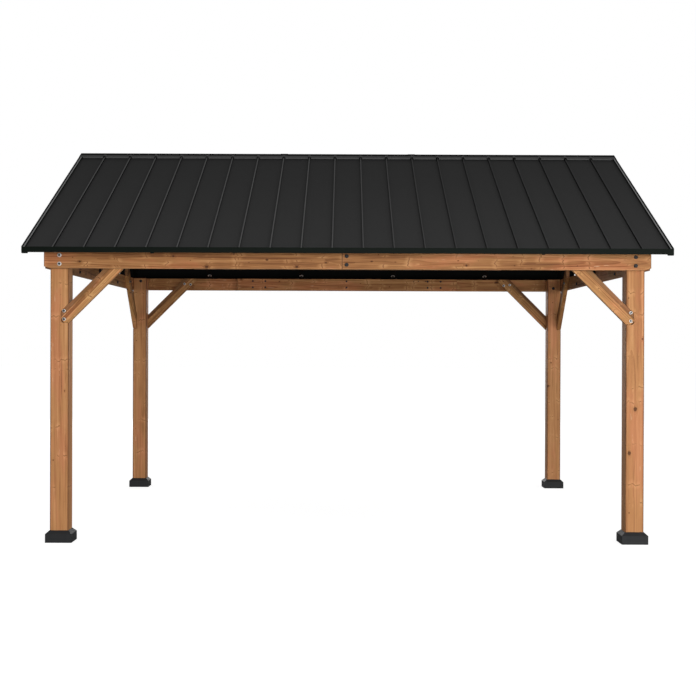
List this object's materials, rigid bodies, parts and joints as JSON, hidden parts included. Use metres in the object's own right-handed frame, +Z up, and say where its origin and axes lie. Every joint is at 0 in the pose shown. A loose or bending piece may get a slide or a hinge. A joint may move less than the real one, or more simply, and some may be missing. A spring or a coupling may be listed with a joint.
{
  "type": "gazebo",
  "caption": "Open garden gazebo with square timber posts, knee-braced board beams and a gabled standing-seam steel roof.",
  "frame": {"origin": "on the ground at the middle of the footprint", "axes": "+X along the ridge and the front, +Y from the front to the back, +Z up"},
  "size_m": [4.572, 3.962, 3.054],
  "materials": {
    "post_wood": "satin stain",
    "beam_wood": "satin stain",
    "brace_wood": "satin stain",
    "base_cover": "satin powder coat",
    "frame_steel": "matte powder coat",
    "roof_steel": "satin powder coat",
    "trim_steel": "satin powder coat"
  },
  "bodies": {
    "root": {"post_front_left": "post_wood", "post_front_right": "post_wood", "post_back_left": "post_wood", "post_back_right": "post_wood", "base_front_left": "base_cover", "base_front_right": "base_cover", "base_back_left": "base_cover", "base_back_right": "base_cover", "beam_front_left": "beam_wood", "beam_front_right": "beam_wood", "beam_back_left": "beam_wood", "beam_back_right": "beam_wood", "beam_left": "beam_wood", "beam_right": "beam_wood", "splice_front": "beam_wood", "splice_back": "beam_wood", "brace_front_left": "brace_wood", "brace_front_right": "brace_wood", "brace_back_left": "brace_wood", "brace_back_right": "brace_wood", "brace_left_front": "brace_wood", "brace_left_back": "brace_wood", "brace_right_front": "brace_wood", "brace_right_back": "brace_wood", "ridge_beam": "frame_steel", "king_post_left": "frame_steel", "king_post_right": "frame_steel", "rafters_front": "frame_steel", "rafters_back": "frame_steel", "roof_front": "roof_steel", "roof_back": "roof_steel", "ridge_cap": "trim_steel", "eave_trim_front": "trim_steel", "eave_trim_back": "trim_steel", "rake_trim_left_front": "trim_steel", "rake_trim_left_back": "trim_steel", "rake_trim_right_front": "trim_steel", "rake_trim_right_back": "trim_steel"}
  },
  "joints": []
}
